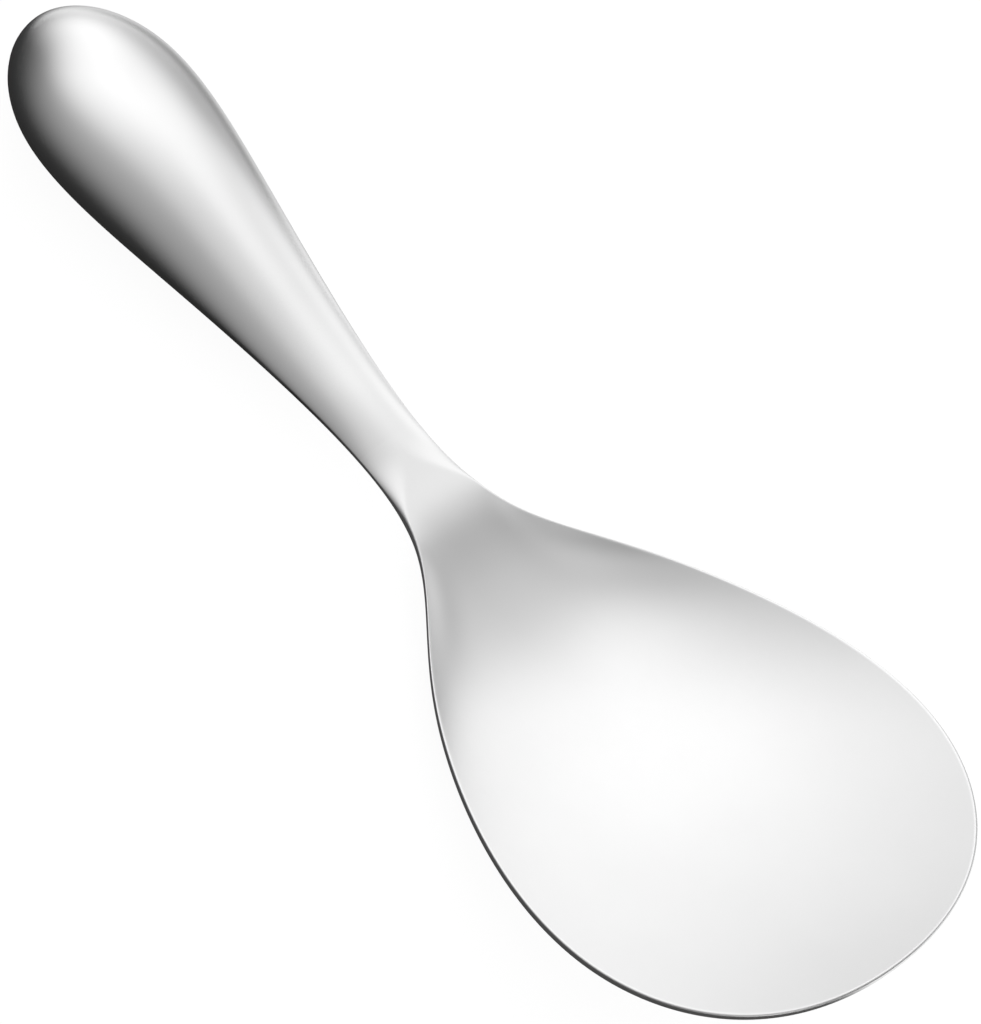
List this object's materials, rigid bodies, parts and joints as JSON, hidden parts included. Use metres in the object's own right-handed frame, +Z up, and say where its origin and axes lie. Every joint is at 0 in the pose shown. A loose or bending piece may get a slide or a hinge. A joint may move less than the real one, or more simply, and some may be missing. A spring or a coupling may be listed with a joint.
{
  "type": "serving spoon",
  "caption": "Serving spoon with a wide, shallow, teardrop bowl and a fat hollow drop-shaped handle in satin stainless steel.",
  "frame": {"origin": "middle of the spoon's box at table height, with the spoon lying as it rests by itself", "axes": "+X along the spoon from the handle to the tip of the bowl, +Y across it, +Z up from the table"},
  "size_m": [0.21, 0.0726, 0.0225],
  "materials": {
    "bowl_steel": "fine satin",
    "handle_steel": "bright satin",
    "weld_steel": "ground flush and satin polished"
  },
  "bodies": {
    "root": {"bowl": "bowl_steel", "handle_top_shell": "handle_steel", "handle_bottom_shell": "handle_steel", "seam_weld": "weld_steel", "neck_weld": "weld_steel"}
  },
  "joints": []
}
